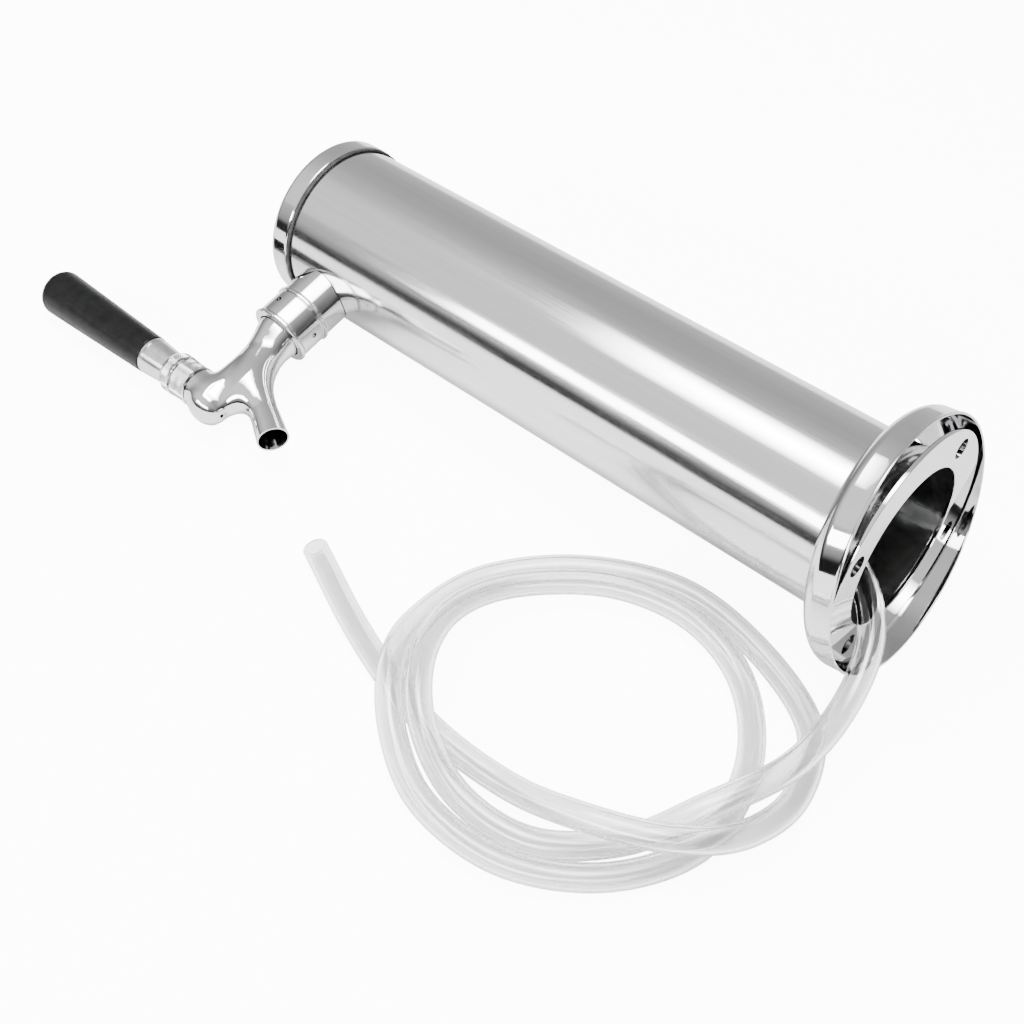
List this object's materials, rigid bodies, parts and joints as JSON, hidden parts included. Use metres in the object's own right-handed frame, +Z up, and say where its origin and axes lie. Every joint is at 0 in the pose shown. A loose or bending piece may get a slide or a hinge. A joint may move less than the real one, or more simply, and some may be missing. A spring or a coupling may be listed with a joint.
{
  "type": "beer tap tower",
  "caption": "Column tower lying on its side, with a lever faucet near its capped top, a loose trim ring over its mounting plate and a clear hose looped on the table.",
  "frame": {"origin": "centre of the bottom of the bounding box, on the table, without the hose", "axes": "+X from the cap towards the foot of the column, +Z up from the table the tower lies on, faucet on the -Y side"},
  "size_m": [0.4323, 0.25, 0.1099],
  "materials": {
    "chrome": "mirror-bright plating",
    "polished_steel": "polished stainless steel",
    "satin_chrome": "satin plating",
    "brass": "as machined",
    "rubber": "matt black",
    "foam": "black closed-cell foam",
    "nylon": "natural, semi-matt",
    "black_plastic": "black, satin",
    "clear_vinyl": "clear, glossy"
  },
  "bodies": {
    "tower": {"mounting_plate": "chrome", "column_tube": "polished_steel", "top_cap": "chrome", "cap_seal_ring": "rubber", "cap_plug_ring": "nylon", "foam_liner": "foam", "outer_saddle": "chrome", "inner_saddle": "brass", "shank": "chrome", "shank_lock_nut": "brass", "tailpiece_nut": "brass", "tailpiece_washer": "rubber", "elbow_tailpiece": "polished_steel", "hose_clamp": "polished_steel", "hose_cuff": "clear_vinyl", "hose": "clear_vinyl", "coupling_nut": "chrome", "coupling_gasket": "rubber", "faucet_body": "chrome", "bonnet": "chrome", "ball_washer": "nylon", "friction_washer": "nylon"},
    "trim": {"trim_ring": "chrome"},
    "valve": {"valve_shaft": "polished_steel", "valve_seal": "rubber", "valve_nut": "brass"},
    "tap_lever": {"lever": "polished_steel", "lever_collar": "chrome", "ferrule": "satin_chrome", "tap_handle": "black_plastic"}
  },
  "joints": [
    {"name": "lever_hinge", "type": "hinge", "parent": "tower", "child": "tap_lever", "pos_m": [-0.10252, -0.07346, 0.01593], "axis": [-0.0424, -0.2224, 0.974], "range_deg": [0, 19]},
    {"name": "valve_slide", "type": "slide", "parent": "tower", "child": "valve", "axis": [0.0097, -0.9749, -0.2222], "range_m": [-0.0034, 0]},
    {"name": "trim_slide", "type": "slide", "parent": "tower", "child": "trim", "axis": [-0.9991, 0, -0.0435], "range_m": [0, 0.22]}
  ],
  "couplings": [
    {"joint": "valve_slide", "follows": "lever_hinge", "m_per_rad": -0.0098}
  ]
}
